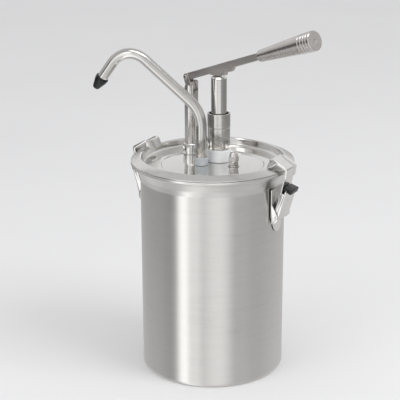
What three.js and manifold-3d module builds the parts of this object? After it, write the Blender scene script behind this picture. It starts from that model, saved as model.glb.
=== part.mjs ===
// Lever-action condiment pump dispenser: a straight-sided stainless pot with a clamped lid that
// carries a piston pump, a swan-neck spout, a slotted column and a hand lever.
// Units are millimetres, +Z is up, the origin is the middle of the pot's underside and +X runs
// along the hand lever, from the column towards the grip.
import * as THREE from 'three';
import { mergeVertices } from 'three/addons/utils/BufferGeometryUtils.js';
import Module from 'manifold-3d';

const wasm = await Module();
wasm.setup();

// ---- driving dimensions ---------------------------------------------------------------------
const POT_R = 102.5;            // outside radius of the straight wall
const LID_Z = 299.5;            // top of the lid's sunk centre disc
const LEVER_Y = 21.5;           // the lever works in the plane y = LEVER_Y
const COLUMN_X = -64.6;         // column axis
const PLUNGER_X = -8.7;         // plunger, bushing and barrel axis
const SPOUT = [-10.1, -12.1];   // foot of the spout
const STUDS = { front: [27.0, 14.9], rear: [-44.4, 28.1] };
const SPOUT_AZ = 205.5;         // direction the spout points, degrees from +X
const LATCH_AZ = { right: 15.5, left: 195.5 };
const FORK_PIN_Z = 396.5;       // pin between the column's fork and the link
const LEVER_PIN = [COLUMN_X - 7, 412.3]; // pin between the link and the lever
const LEVER_TILT = 19.2;        // lever's upward slope at rest
const BAR_LENGTH = 149.5;       // lever pin to the grip's shoulder
const PLUNGER_TOP = 422;        // top face of the plunger at rest
const LATCH_PIVOT = [109.5, 241.5]; // latch lever's pivot, as radius and height
const CLAW_PIVOT = [109.75, 244.9]; // claw's pivot in the latch lever

// ---- materials ------------------------------------------------------------------------------
const mat = (color, roughness, metalness) => new THREE.MeshStandardMaterial({ color, roughness, metalness });
const satin = () => mat(0xb9b7b3, 0.38, 1);
const polished = () => mat(0xcfcdca, 0.14, 1);
const barSteel = () => mat(0x8f8b87, 0.45, 1);
const whitePlastic = () => mat(0xe9ecec, 0.4, 0);
const greyPlastic = () => mat(0xa9b4bd, 0.35, 0);
const blackPlastic = () => mat(0x141416, 0.4, 0);
const rubber = () => mat(0x2a2b2d, 0.7, 0);
const silicone = () => mat(0xd9d6cf, 0.55, 0);

// ---- solid helpers --------------------------------------------------------------------------
function toSolid(geometry) {
  let g = geometry.clone();
  for (const name of Object.keys(g.attributes)) if (name !== 'position') g.deleteAttribute(name);
  g = mergeVertices(g, 1e-4);
  const p = g.attributes.position.array;
  const tri = [];
  for (let i = 0; i < g.index.count; i += 3) {
    const [a, b, c] = [g.index.getX(i), g.index.getX(i + 1), g.index.getX(i + 2)];
    if (a !== b && b !== c && a !== c) tri.push(a, b, c);
  }
  let volume = 0;
  const v = (i) => new THREE.Vector3(p[3 * i], p[3 * i + 1], p[3 * i + 2]);
  for (let i = 0; i < tri.length; i += 3) volume += v(tri[i]).dot(v(tri[i + 1]).cross(v(tri[i + 2])));
  if (volume < 0) for (let i = 0; i < tri.length; i += 3) [tri[i + 1], tri[i + 2]] = [tri[i + 2], tri[i + 1]];
  return new wasm.Manifold(new wasm.Mesh({
    numProp: 3, vertProperties: new Float32Array(p), triVerts: new Uint32Array(tri),
  }));
}

function toGeometry(solid) {
  const m = solid.getMesh();
  const g = new THREE.BufferGeometry();
  const pos = new Float32Array(m.numVert * 3);
  for (let i = 0; i < m.numVert; i++) for (let k = 0; k < 3; k++) pos[3 * i + k] = m.vertProperties[i * m.numProp + k];
  g.setAttribute('position', new THREE.BufferAttribute(pos, 3));
  g.setIndex(new THREE.BufferAttribute(new Uint32Array(m.triVerts), 1));
  g.computeVertexNormals();
  return g;
}

// A body of revolution about Z from a closed profile of [radius, height] pairs.
function turned(profile, segments = 16) {
  const pts = profile.map(([r, z]) => new THREE.Vector2(r, z));
  pts.push(pts[0].clone());
  const g = new THREE.LatheGeometry(pts, segments);
  g.rotateX(Math.PI / 2);
  return toSolid(g);
}

// A round bar from z0 to z1, centred on x, y.
function rod(r, z0, z1, x = 0, y = 0, segments = 14) {
  const g = new THREE.CylinderGeometry(r, r, z1 - z0, segments);
  g.rotateX(Math.PI / 2);
  g.translate(x, y, (z0 + z1) / 2);
  return toSolid(g);
}

// A round bar along Y, centred on y0..y1.
function crossRod(r, x, z, y0, y1, segments = 12) {
  const g = new THREE.CylinderGeometry(r, r, y1 - y0, segments);
  g.translate(x, (y0 + y1) / 2, z);
  return toSolid(g);
}

function block(x0, x1, y0, y1, z0, z1) {
  const g = new THREE.BoxGeometry(x1 - x0, y1 - y0, z1 - z0);
  g.translate((x0 + x1) / 2, (y0 + y1) / 2, (z0 + z1) / 2);
  return toSolid(g);
}

// A plate whose outline is drawn in X and Z, with its thickness along Y from y0 to y1.
function plateXZ(outline, y0, y1) {
  const shape = new THREE.Shape(outline.map(([x, z]) => new THREE.Vector2(x, z)));
  const g = new THREE.ExtrudeGeometry(shape, { depth: y1 - y0, bevelEnabled: false, steps: 1 });
  g.rotateX(Math.PI / 2);
  g.translate(0, y1, 0);
  return toSolid(g);
}

// A bent strip: the line offset by half the thickness on each side, as an XZ outline.
function strip(line, t) {
  const left = [], right = [];
  for (let i = 0; i < line.length; i++) {
    const a = line[Math.max(0, i - 1)], b = line[i], c = line[Math.min(line.length - 1, i + 1)];
    const d1 = norm(i ? [b[0] - a[0], b[1] - a[1]] : [c[0] - b[0], c[1] - b[1]]);
    const d2 = norm(i < line.length - 1 ? [c[0] - b[0], c[1] - b[1]] : [b[0] - a[0], b[1] - a[1]]);
    const n = norm([-(d1[1] + d2[1]), d1[0] + d2[0]]);
    const k = t / 2 / Math.max(0.35, n[0] * -d1[1] + n[1] * d1[0]);
    left.push([b[0] + n[0] * k, b[1] + n[1] * k]);
    right.push([b[0] - n[0] * k, b[1] - n[1] * k]);
  }
  return left.concat(right.reverse());
}
const norm = ([x, y]) => { const l = Math.hypot(x, y); return [x / l, y / l]; };

// Points of a circular arc, angles in degrees from +X towards the second axis.
function arc(cx, cy, r, a0, a1, n) {
  return Array.from({ length: n + 1 }, (_, i) => {
    const a = (a0 + ((a1 - a0) * i) / n) * Math.PI / 180;
    return [cx + r * Math.cos(a), cy + r * Math.sin(a)];
  });
}

// A tube or bar along a path of points; inner = 0 makes it solid.
function along(points, outer, inner, sides) {
  const ring = (r) => Array.from({ length: sides }, (_, i) => {
    const a = (i / sides) * Math.PI * 2;
    return new THREE.Vector2(r * Math.cos(a), r * Math.sin(a));
  });
  const shape = new THREE.Shape(ring(outer));
  if (inner) shape.holes.push(new THREE.Path(ring(inner)));
  class Poly extends THREE.Curve {
    getPoint(t, target = new THREE.Vector3()) {
      const f = t * (points.length - 1), i = Math.min(points.length - 2, Math.floor(f + 1e-9));
      return target.copy(points[i]).lerp(points[i + 1], f - i);
    }
    getPointAt(t, target) { return this.getPoint(t, target); }
    getTangent(t, target = new THREE.Vector3()) {
      const i = Math.round(t * (points.length - 1));
      return target.copy(points[Math.min(points.length - 1, i + 1)]).sub(points[Math.max(0, i - 1)]).normalize();
    }
    getTangentAt(t, target) { return this.getTangent(t, target); }
  }
  const g = new THREE.ExtrudeGeometry(shape, { steps: points.length - 1, extrudePath: new Poly(), bevelEnabled: false });
  return toSolid(g);
}

function hexNut(af, z0, z1, bore, x = 0, y = 0, turn = 0) {
  const g = new THREE.CylinderGeometry(af / Math.sqrt(3), af / Math.sqrt(3), z1 - z0, 6);
  g.rotateX(Math.PI / 2);
  g.rotateZ(turn);
  g.translate(x, y, (z0 + z1) / 2);
  const body = toSolid(g);
  return bore ? body.subtract(rod(bore, z0 - 1, z1 + 1, x, y, 20)) : body;
}

const group = new THREE.Group();
function add(name, solid, material, parent = group) {
  const mesh = new THREE.Mesh(toGeometry(solid), material);
  mesh.name = name;
  parent.add(mesh);
  return mesh;
}
function at(x, y, z = 0, parent = group) {
  const g = new THREE.Group();
  g.position.set(x, y, z);
  parent.add(g);
  return g;
}

// ---- pot, lid and gasket --------------------------------------------------------------------
add('pot_body', turned([
  [0, 0], [98.6, 0], [101.6, 1.4], [POT_R, 4.6], [POT_R, 281.5], [105, 289.5], [111.4, 300.2], [114.6, 301.5],
  [116.2, 304.3], [114.6, 306.8], [111.8, 306.8], [110.4, 304.3], [109.9, 300.4], [103.9, 290],
  [POT_R - 1, 281.7], [POT_R - 1, 4.8], [100, 1.9], [98.2, 1.2], [0, 1.2],
], 40), satin());

const lid = turned([
  [0, LID_Z - 1], [72.8, LID_Z - 1], [74, 300], [98, 300], [101, 302.6], [101.5, 311.5],
  [102.8, 312.3], [112.9, 308.2], [114.3, 307.4], [115.6, 307.3], [115.6, 308.2],
  [104.2, 312.9], [102.6, 313.5], [101, 313], [100.3, 311.4], [100.1, 303.6],
  [98, 301], [73.6, 301], [72.3, LID_Z], [0, LID_Z],
], 40);
add('lid', lid
  .subtract(rod(13.2, 290, 305, PLUNGER_X, LEVER_Y, 24))
  .subtract(rod(8.3, 290, 305, ...SPOUT))
  .subtract(rod(5.4, 290, 305, COLUMN_X, LEVER_Y))
  .subtract(rod(4.4, 290, 305, ...STUDS.front))
  .subtract(rod(4.4, 290, 305, ...STUDS.rear)), polished());

add('lid_gasket', turned([[104.6, 305.8], [109.9, 305.8], [109.9, 308.9], [104.6, 310.9]], 32), silicone());

// ---- pump, on the axis of the plunger --------------------------------------------------------
const pump = at(PLUNGER_X, LEVER_Y);
add('pump_bushing', turned([
  [4.3, 284], [12.6, 284], [12.6, 299.8], [17.5, 299.8], [17.6, 302], [17.2, 316.2], [16.4, 317.3], [4.3, 317.3],
], 20), whitePlastic(), pump);
add('guide_sleeve', turned([
  [14.2, 317.6], [16.1, 317.6], [16.1, 348.6], [16.4, 349.4], [16.4, 369.5], [14.2, 369.5],
], 24), polished(), pump);
add('plunger_sleeve', turned([[9.9, 353], [11.15, 353], [11.15, 418.7], [9.9, 418.7]], 20), polished(), pump);
add('plunger_cap', turned([
  [0, 417.5], [4.3, 417.5], [4.3, 414.5], [9.6, 414.5], [9.6, 419], [11.15, 419], [11.15, 419.9],
  [9, PLUNGER_TOP], [0, PLUNGER_TOP],
], 20), polished(), pump);
add('piston_rod', rod(4, 255, 417.2, 0, 0, 12), polished(), pump);
add('piston', turned([
  [4.3, 262], [16.7, 262], [16.7, 266], [14.5, 266], [14.5, 270], [16.7, 270], [16.7, 274], [4.3, 274],
], 18), whitePlastic(), pump);
add('piston_seal', turned([[14.8, 266.3], [16.85, 266.3], [16.85, 269.7], [14.8, 269.7]], 18), rubber(), pump);
add('piston_nut', hexNut(13, 256.2, 261.7, 4.3), satin(), pump);

const coil = [];
const TURNS = 7, STEPS = 9;
for (let i = 0; i <= TURNS * STEPS; i++) {
  const a = (i / STEPS) * Math.PI * 2;
  coil.push(new THREE.Vector3(8.1 * Math.cos(a), 8.1 * Math.sin(a), 318.9 + (413.2 - 318.9) * (i / (TURNS * STEPS))));
}
add('return_spring', along(coil, 0.9, 0, 5), satin(), pump);

add('flange_gasket', turned([[13.2, 296.7], [44, 296.7], [44, 298.2], [13.2, 298.2]], 24)
  .subtract(rod(9, 290, 305, SPOUT[0] - PLUNGER_X, SPOUT[1] - LEVER_Y))
  .subtract(rod(4.6, 290, 305, STUDS.front[0] - PLUNGER_X, STUDS.front[1] - LEVER_Y))
  .subtract(rod(4.6, 290, 305, STUDS.rear[0] - PLUNGER_X, STUDS.rear[1] - LEVER_Y)), silicone(), pump);
add('pump_flange', turned([[13.2, 292.4], [44, 292.4], [44, 296.4], [13.2, 296.4]], 24)
  .subtract(rod(8.4, 290, 305, SPOUT[0] - PLUNGER_X, SPOUT[1] - LEVER_Y))
  .subtract(rod(4.3, 290, 305, STUDS.front[0] - PLUNGER_X, STUDS.front[1] - LEVER_Y))
  .subtract(rod(4.3, 290, 305, STUDS.rear[0] - PLUNGER_X, STUDS.rear[1] - LEVER_Y)), satin(), pump);
add('pump_barrel', turned([[17.15, 212], [19, 212], [19, 292.1], [17.15, 292.1]], 20), satin(), pump);

// Valve body: inlet chamber under the barrel, an arm to the side and a socket for the riser.
const sx = SPOUT[0] - PLUNGER_X, sy = SPOUT[1] - LEVER_Y;
const armLength = Math.hypot(sx, sy);
function arm(r, l0, l1, z) {
  const g = new THREE.CylinderGeometry(r, r, l1 - l0, 12);
  g.rotateZ(-Math.PI / 2);
  g.translate((l0 + l1) / 2, 0, z);
  g.rotateZ(Math.atan2(sy, sx));
  return toSolid(g);
}
add('valve_body', rod(21, 186, 211.7, 0, 0, 20)
  .add(arm(7.5, 10, armLength, 199)).add(rod(11, 189, 218, sx, sy, 16))
  .subtract(rod(9, 196, 215)).subtract(rod(4.5, 180, 198, 0, 0, 12))
  .subtract(arm(3.4, 5, armLength, 199)).subtract(rod(4, 194, 206, sx, sy, 12))
  .subtract(rod(7.2, 204, 222, sx, sy)), whitePlastic(), pump);
add('suction_tube', turned([[10.5, 12], [12.5, 12], [12.5, 185.7], [10.5, 185.7]], 20)
  .subtract(block(-3, 3, -20, 20, 5, 20)), satin(), pump);
add('inlet_ball', toSolid(new THREE.SphereGeometry(6, 10, 7).translate(0, 0, 200.4)), polished(), pump);
add('outlet_ball', toSolid(new THREE.SphereGeometry(5.5, 10, 7).translate(sx, sy, 208.2)), polished(), pump);

// ---- spout ----------------------------------------------------------------------------------
const spoutGroup = at(...SPOUT);
add('discharge_tube', turned([
  [6.4, 218.3], [8, 218.3], [8, 262], [10.2, 264], [10.2, 284], [8.1, 284], [8.1, 265], [6.4, 264],
], 16), satin(), spoutGroup);
add('spout_seal', turned([[8.1, 284.3], [10.4, 284.3], [10.4, 286.8], [8.1, 286.8]], 14), rubber(), spoutGroup);
add('spout_bushing', turned([[8.1, 299.8], [9.5, 299.8], [9.2, 310.8], [8.1, 310.8]], 18),
  greyPlastic(), spoutGroup);

const NECK_R = 46, CREST_R = 34.7, RISE = 39, FALL = 53.8;
const neck = arc(NECK_R, 354.6, NECK_R, 180, 180 - (90 - RISE), 5);
const crest = arc(111.8 - 0.187 * CREST_R, 467.2 - 1.438 * CREST_R, CREST_R, 90 + RISE, 90 - FALL, 9);
const fall = [Math.cos(FALL * Math.PI / 180), -Math.sin(FALL * Math.PI / 180)];
const nozzleMouth = [149.6, 415.5];
const tubeEnd = [nozzleMouth[0] + fall[0] * 6, nozzleMouth[1] + fall[1] * 6];
const az = SPOUT_AZ * Math.PI / 180;
const inPlane = ([s, z]) => new THREE.Vector3(s * Math.cos(az), s * Math.sin(az), z);
add('spout_tube', along([[0, 267], [0, 310], ...neck, ...crest, tubeEnd].map(inPlane), 7.8, 6.4, 12), polished(), spoutGroup);
const nozzle = add('nozzle_tip', turned([
  [2.6, 8], [2.6, 20], [4.4, 20], [5.2, 18.7], [9.5, 3], [9.8, 1.2], [9.3, 0], [8.15, 0], [8.15, 6.8], [4, 8],
], 16), blackPlastic(), spoutGroup);
const mouth = inPlane(nozzleMouth);
nozzle.position.copy(mouth);
nozzle.quaternion.setFromUnitVectors(new THREE.Vector3(0, 0, 1), inPlane(fall).normalize());

// ---- studs and cap nuts ---------------------------------------------------------------------
for (const [where, [x, y]] of Object.entries(STUDS)) {
  const stud = at(x, y);
  const turn = where === 'front' ? 0.25 : 0.6;
  add(`flange_stud_${where}`, rod(3.9, 289, 314, 0, 0, 12), satin(), stud);
  add(`stud_washer_${where}`, turned([[4.4, 299.8], [8.3, 299.8], [8.3, 301.2], [4.4, 301.2]], 16), satin(), stud);
  add(`lock_nut_${where}`, hexNut(13, 301.5, 306.8, 4.3, 0, 0, turn), polished(), stud);
  const cap = turned([[4.3, 307.1], [7.4, 307.1], [7.4, 313], [6.3, 314.2], [5.9, 317], [4.2, 319.6], [0, 320.6], [0, 315.2], [4.3, 315.2]], 12);
  add(`cap_nut_${where}`, cap.intersect(hexNut(13, 300, 314.2, 0, 0, 0, turn + 0.35).add(rod(6.4, 312, 325))), polished(), stud);
}

// ---- column with its fork, and the link -----------------------------------------------------
const column = at(COLUMN_X, LEVER_Y);
// the column stands across the lid's step, so its foot and collar are relieved to sit over it
const step = turned([[72, 297], [99, 297], [99, 301.3], [73.5, 301.3], [72, 299.8]], 40).translate([-COLUMN_X, -LEVER_Y, 0]);
const columnBody = turned([
  [0, 284], [5, 284], [5, 299.8], [9.9, 299.8], [9.9, 407], [8.9, 408], [0, 408],
], 24);
const forkWindow = plateXZ([[-15, 384], [15, 384], [15, 420], [-15, 420]], -5, 5)
  .add(crossRod(5, 0, 384, -5, 5).intersect(block(-20, 20, -6, 6, 370, 386)));
const forkChamfer = plateXZ([[-15, 392], [-9.5, 392], [-2.5, 403], [-1, 420], [-15, 420]], -15, 15);
// the fork's front cheek is cut lower than its rear one, which leaves the link in view
const frontCheek = block(-15, 15, -15, -4.9, 402, 412);
add('lever_column', columnBody.subtract(forkWindow).subtract(forkChamfer).subtract(frontCheek)
  .subtract(crossRod(2.8, 0, FORK_PIN_Z, -12, 12)).subtract(step), satin(), column);
add('column_collar', turned([[10.2, 299.8], [12.3, 299.8], [12.3, 314.6], [11.3, 315.6], [10.2, 315.6]], 20)
  .subtract(step), polished(), column);
add('column_washer', turned([[5.4, 296.7], [11, 296.7], [11, 298.2], [5.4, 298.2]], 16), satin(), column);
add('column_nut', hexNut(16, 288, 296.4, 5.4), satin(), column);
add('fork_pin', crossRod(2.5, 0, FORK_PIN_Z, -9.6, 9.6), polished(), column);

const pinX = LEVER_PIN[0] - COLUMN_X, pinZ = LEVER_PIN[1];
const linkDir = norm([pinX, pinZ - FORK_PIN_Z]);
const side = [linkDir[1] * 5.2, -linkDir[0] * 5.2];
const linkBody = plateXZ([
  [side[0], FORK_PIN_Z + side[1]], [pinX + side[0], pinZ + side[1]],
  [pinX - side[0], pinZ - side[1]], [-side[0], FORK_PIN_Z - side[1]],
], -4.6, 4.6).add(crossRod(5.2, 0, FORK_PIN_Z, -4.6, 4.6)).add(crossRod(5.2, pinX, pinZ, -4.6, 4.6));
add('link_block', linkBody
  .subtract(block(-25, 25, -3.1, 3.1, pinZ - 6.4, pinZ + 20))
  .subtract(crossRod(2.8, 0, FORK_PIN_Z, -8, 8)).subtract(crossRod(2.8, pinX, pinZ, -8, 8)), satin(), column);
add('lever_pin', crossRod(2.5, pinX, pinZ, -5, 5).add(crossRod(3.3, pinX, pinZ, -6.4, -4.9))
  .add(crossRod(3.3, pinX, pinZ, 4.9, 6.4)), polished(), column);

// ---- hand lever -----------------------------------------------------------------------------
const lever = at(LEVER_PIN[0], LEVER_Y, LEVER_PIN[1]);
lever.rotation.y = -LEVER_TILT * Math.PI / 180;
// points of the lug are given level, from the lever pin, and turned into the bar's own axes
const ct = Math.cos(LEVER_TILT * Math.PI / 180), st = Math.sin(LEVER_TILT * Math.PI / 180);
const toBar = ([x, z]) => [x * ct + z * st, -x * st + z * ct];
const HALF = 5;
const lug = [[47, 10.5], [52, 10.1], [66, 10.1], [67.3, 12], [68.3, 15], [70.4, 15], [71.2, 13.2], [77, 13.2], [78, 16],
  [79, 18.6], [81, 18.6], [82, 19], [88.5, 20.3], [90.5, 22], [93, 26]].map(toBar).filter(([, z]) => z < -HALF);
add('lever_bar', plateXZ([
  ...arc(0, 0, HALF, 90, 270, 12), [lug[0][0] - 3, -HALF], ...lug, [lug[lug.length - 1][0] + 1.5, -HALF],
  [BAR_LENGTH - 0.3, -HALF], [BAR_LENGTH - 0.3, HALF],
], -2.8, 2.8)
  .add(toSolid(new THREE.CylinderGeometry(4, 4, 20, 16).rotateZ(Math.PI / 2).translate(BAR_LENGTH + 8, 0, 0)))
  .subtract(crossRod(2.8, 0, 0, -8, 8)), barSteel(), lever);
const grip = add('lever_grip', turned([
  [4.4, 0], [7.2, 0], [8.3, 1.6], [11.2, 48], [13.2, 82], [13.7, 92], [13.7, 100.4],
  [12.9, 101.5], [0, 101.5], [0, 20], [4.4, 20],
], 20), polished(), lever);
grip.rotation.y = Math.PI / 2;
grip.position.x = BAR_LENGTH;

// ---- lid latches ----------------------------------------------------------------------------
// In each latch x is the distance out from the pot's axis, y runs round the pot and z is up.
for (const [where, angle] of Object.entries(LATCH_AZ)) {
  const latch = at(0, 0);
  latch.rotation.z = angle * Math.PI / 180;
  const [px, pz] = LATCH_PIVOT, [qx, qz] = CLAW_PIVOT;

  const T = 1.5;
  const back = [[18, 282], [-18, 282], [-19, 281], [-19, 243], [-17, 237], ...arc(0, 229, 12, 195, 345, 8), [17, 237], [19, 243], [19, 281]];
  const backPlate = plateXZ(back, -104.1, -102.8).rotate([0, 0, 90]);
  const cheek = [[103.4, 232], [110, 235.5], [113.2, 239], [113.2, 244], [109, 252], [103.4, 262]];
  add(`latch_base_${where}`, backPlate
    .add(plateXZ(cheek, 17.5, 19)).add(plateXZ(cheek, -19, -17.5))
    .subtract(crossRod(1.8, px, pz, -20, 20)), satin(), latch);

  const web = strip([[113, 239.7], [113.3, 244.5], [122.6, 277.5], [123.9, 281.5]], T);
  const leverCheek = [[112.2, 238.6], [113.4, 240.4], [113.7, 244.4], [122.9, 277], [117.5, 279], [111, 262], [107, 247.5], [106.4, 243], [106.8, 239.9], [109, 238.2]];
  add(`latch_lever_${where}`, plateXZ(web, -16.9, 16.9)
    .add(plateXZ(leverCheek, 15.4, 16.9)).add(plateXZ(leverCheek, -16.9, -15.4))
    .add(crossRod(1.5, px, pz, 16, 19.4)).add(crossRod(1.5, px, pz, -19.4, -16))
    .subtract(crossRod(1.5, qx, qz, -20, 20)), satin(), latch);
  add(`claw_pin_${where}`, crossRod(1.2, qx, qz, -16.8, 16.8, 12), polished(), latch);

  const tip = at(122.9, 0, 281.4, latch);
  tip.rotation.y = 18 * Math.PI / 180;
  add(`latch_tip_${where}`, block(-5.4, 7.2, -11, 11, -3.4, 3.6)
    .subtract(block(-0.2, 2.1, -12.5, 12.5, -6, 1)), blackPlastic(), tip);

  const hook = strip([[93.8, 310.4], [99.3, 324.4], [121.8, 311.1], [119.4, 296]], T);
  const tail = strip([[119.6, 297.2], [113.4, 268], [111.2, 252], [110.6, 247]], T);
  // the claw's long edges are turned outwards, as stiffening flanges
  const flange = [[100.6, 323.6], [104.2, 324.9], [123.3, 313.6], [124.7, 310.6], [122.9, 299.5], [119.6, 297], [120, 299.9], [121.8, 311.1]];
  add(`latch_claw_${where}`, plateXZ(hook, -15, 15).add(plateXZ(tail, -14, 14)).add(crossRod(2.5, qx, qz, -14, 14))
    .add(plateXZ(flange, 13.6, 15)).add(plateXZ(flange, -15, -13.6))
    .subtract(crossRod(1.5, qx, qz, -20, 20)), satin(), latch);
}

export default group;
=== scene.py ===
import math

import bmesh
import bpy
from mathutils import Matrix, Quaternion, Vector


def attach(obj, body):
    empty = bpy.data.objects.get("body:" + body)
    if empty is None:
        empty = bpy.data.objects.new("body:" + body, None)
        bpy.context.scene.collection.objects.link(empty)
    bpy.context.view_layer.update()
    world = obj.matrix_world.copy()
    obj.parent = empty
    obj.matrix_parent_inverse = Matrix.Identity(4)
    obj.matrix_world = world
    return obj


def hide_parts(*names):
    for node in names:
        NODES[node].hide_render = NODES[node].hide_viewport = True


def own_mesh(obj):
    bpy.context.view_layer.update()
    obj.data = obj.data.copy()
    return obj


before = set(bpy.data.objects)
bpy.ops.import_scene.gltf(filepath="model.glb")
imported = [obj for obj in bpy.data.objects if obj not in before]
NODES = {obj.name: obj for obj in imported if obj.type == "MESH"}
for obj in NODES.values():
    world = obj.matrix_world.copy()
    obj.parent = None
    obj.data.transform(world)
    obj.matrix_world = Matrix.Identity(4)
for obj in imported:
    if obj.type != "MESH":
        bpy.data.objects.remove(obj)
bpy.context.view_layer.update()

scene = bpy.context.scene
MM = 0.001

# ---------------------------------------------------------------- driving dimensions, in mm
POT_R = 102.5
LID_Z = 299.5
LEVER_Y = 21.5
COLUMN_X = -64.6
PLUNGER = (-8.7, LEVER_Y)
SPOUT = (-10.1, -12.1)
STUDS = {"front": (27.0, 14.9), "rear": (-44.4, 28.1)}
SPOUT_AZ = math.radians(205.5)
LATCH_AZ = {"right": 15.5, "left": 195.5}
FORK_PIN_Z = 396.5
LEVER_PIN = (COLUMN_X - 7, 412.3)
LEVER_TILT = math.radians(19.2)
BAR_LENGTH = 149.5


# ---------------------------------------------------------------- camera
def make_camera():
    toward = Vector((1.1759, -1.1803, 0.781))
    view = Vector((-0.679, 0.667, -0.3055)).normalized()
    cam = bpy.data.cameras.new("camera")
    cam.sensor_width = 36.0
    cam.lens = 109.9
    cam.clip_end = 50
    ob = bpy.data.objects.new("camera", cam)
    scene.collection.objects.link(ob)
    q = view.to_track_quat("-Z", "Y")
    ob.matrix_world = Matrix.Translation(toward) @ (q.to_matrix().to_4x4() @ Matrix.Rotation(math.radians(-0.187), 4, "Z"))
    scene.camera = ob
    return ob


camera = make_camera()
CAM_AZ = math.atan2(-1.1803, 1.1759)      # azimuth from the pot towards the camera


# ---------------------------------------------------------------- node materials
def nodes_of(name):
    m = bpy.data.materials.new(name)
    m.use_nodes = True
    nt = m.node_tree
    nt.nodes.clear()
    out = nt.nodes.new("ShaderNodeOutputMaterial")
    p = nt.nodes.new("ShaderNodeBsdfPrincipled")
    nt.links.new(p.outputs["BSDF"], out.inputs["Surface"])
    return m, nt, p


def math_node(nt, op, a, b=None, c=None):
    n = nt.nodes.new("ShaderNodeMath")
    n.operation = op
    for i, v in enumerate((a, b, c)):
        if v is None:
            continue
        if isinstance(v, (int, float)):
            n.inputs[i].default_value = v
        else:
            nt.links.new(v, n.inputs[i])
    return n.outputs[0]


def noise(nt, vec, scale, detail=3.0, rough=0.55, distortion=0.0):
    n = nt.nodes.new("ShaderNodeTexNoise")
    n.inputs["Scale"].default_value = scale
    n.inputs["Detail"].default_value = detail
    n.inputs["Roughness"].default_value = rough
    n.inputs["Distortion"].default_value = distortion
    nt.links.new(vec, n.inputs["Vector"])
    return n.outputs["Fac"]


def ramp(nt, fac, stops, interpolation="LINEAR"):
    n = nt.nodes.new("ShaderNodeValToRGB")
    r = n.color_ramp
    r.interpolation = interpolation
    while len(r.elements) > 1:
        r.elements.remove(r.elements[-1])
    for i, (p, c) in enumerate(stops):
        c = c if isinstance(c, (tuple, list)) else (c, c, c)
        e = r.elements[0] if i == 0 else r.elements.new(p)
        e.position = p
        e.color = (*c[:3], 1)
    nt.links.new(fac, n.inputs["Fac"])
    return n.outputs["Color"]


def map_range(nt, v, a, b, c, d):
    n = nt.nodes.new("ShaderNodeMapRange")
    nt.links.new(v, n.inputs["Value"])
    for k, x in (("From Min", a), ("From Max", b), ("To Min", c), ("To Max", d)):
        n.inputs[k].default_value = x
    return n.outputs["Result"]


def bump(nt, p, height, strength, distance):
    n = nt.nodes.new("ShaderNodeBump")
    n.inputs["Strength"].default_value = strength
    n.inputs["Distance"].default_value = distance
    nt.links.new(height, n.inputs["Height"])
    nt.links.new(n.outputs["Normal"], p.inputs["Normal"])
    return n


def scaled(nt, vec, s):
    n = nt.nodes.new("ShaderNodeVectorMath")
    n.operation = "MULTIPLY"
    nt.links.new(vec, n.inputs[0])
    n.inputs[1].default_value = s
    return n.outputs[0]


def combine(nt, x, y, z):
    n = nt.nodes.new("ShaderNodeCombineXYZ")
    for i, v in enumerate((x, y, z)):
        if isinstance(v, (int, float)):
            n.inputs[i].default_value = v
        else:
            nt.links.new(v, n.inputs[i])
    return n.outputs[0]


def object_coords(nt):
    t = nt.nodes.new("ShaderNodeTexCoord")
    s = nt.nodes.new("ShaderNodeSeparateXYZ")
    nt.links.new(t.outputs["Object"], s.inputs[0])
    return t.outputs["Object"], s.outputs["X"], s.outputs["Y"], s.outputs["Z"]


def around_z(nt, x, y, z, cx=0.0, cy=0.0, turn=6.0, up=900.0, out=900.0):
    """Coordinates that run round an axis parallel to Z, so noise in them makes marks round the piece."""
    dx, dy = math_node(nt, "SUBTRACT", x, cx), math_node(nt, "SUBTRACT", y, cy)
    a = math_node(nt, "ARCTAN2", dy, dx)
    r = math_node(nt, "SQRT", math_node(nt, "ADD", math_node(nt, "MULTIPLY", dx, dx), math_node(nt, "MULTIPLY", dy, dy)))
    # cosine and sine of the angle keep the pattern closed at the back
    ca, sa = math_node(nt, "COSINE", a), math_node(nt, "SINE", a)
    return combine(nt, math_node(nt, "MULTIPLY", ca, turn),
                   math_node(nt, "MULTIPLY_ADD", sa, turn, math_node(nt, "MULTIPLY", r, out)),
                   math_node(nt, "MULTIPLY", z, up))


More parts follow.
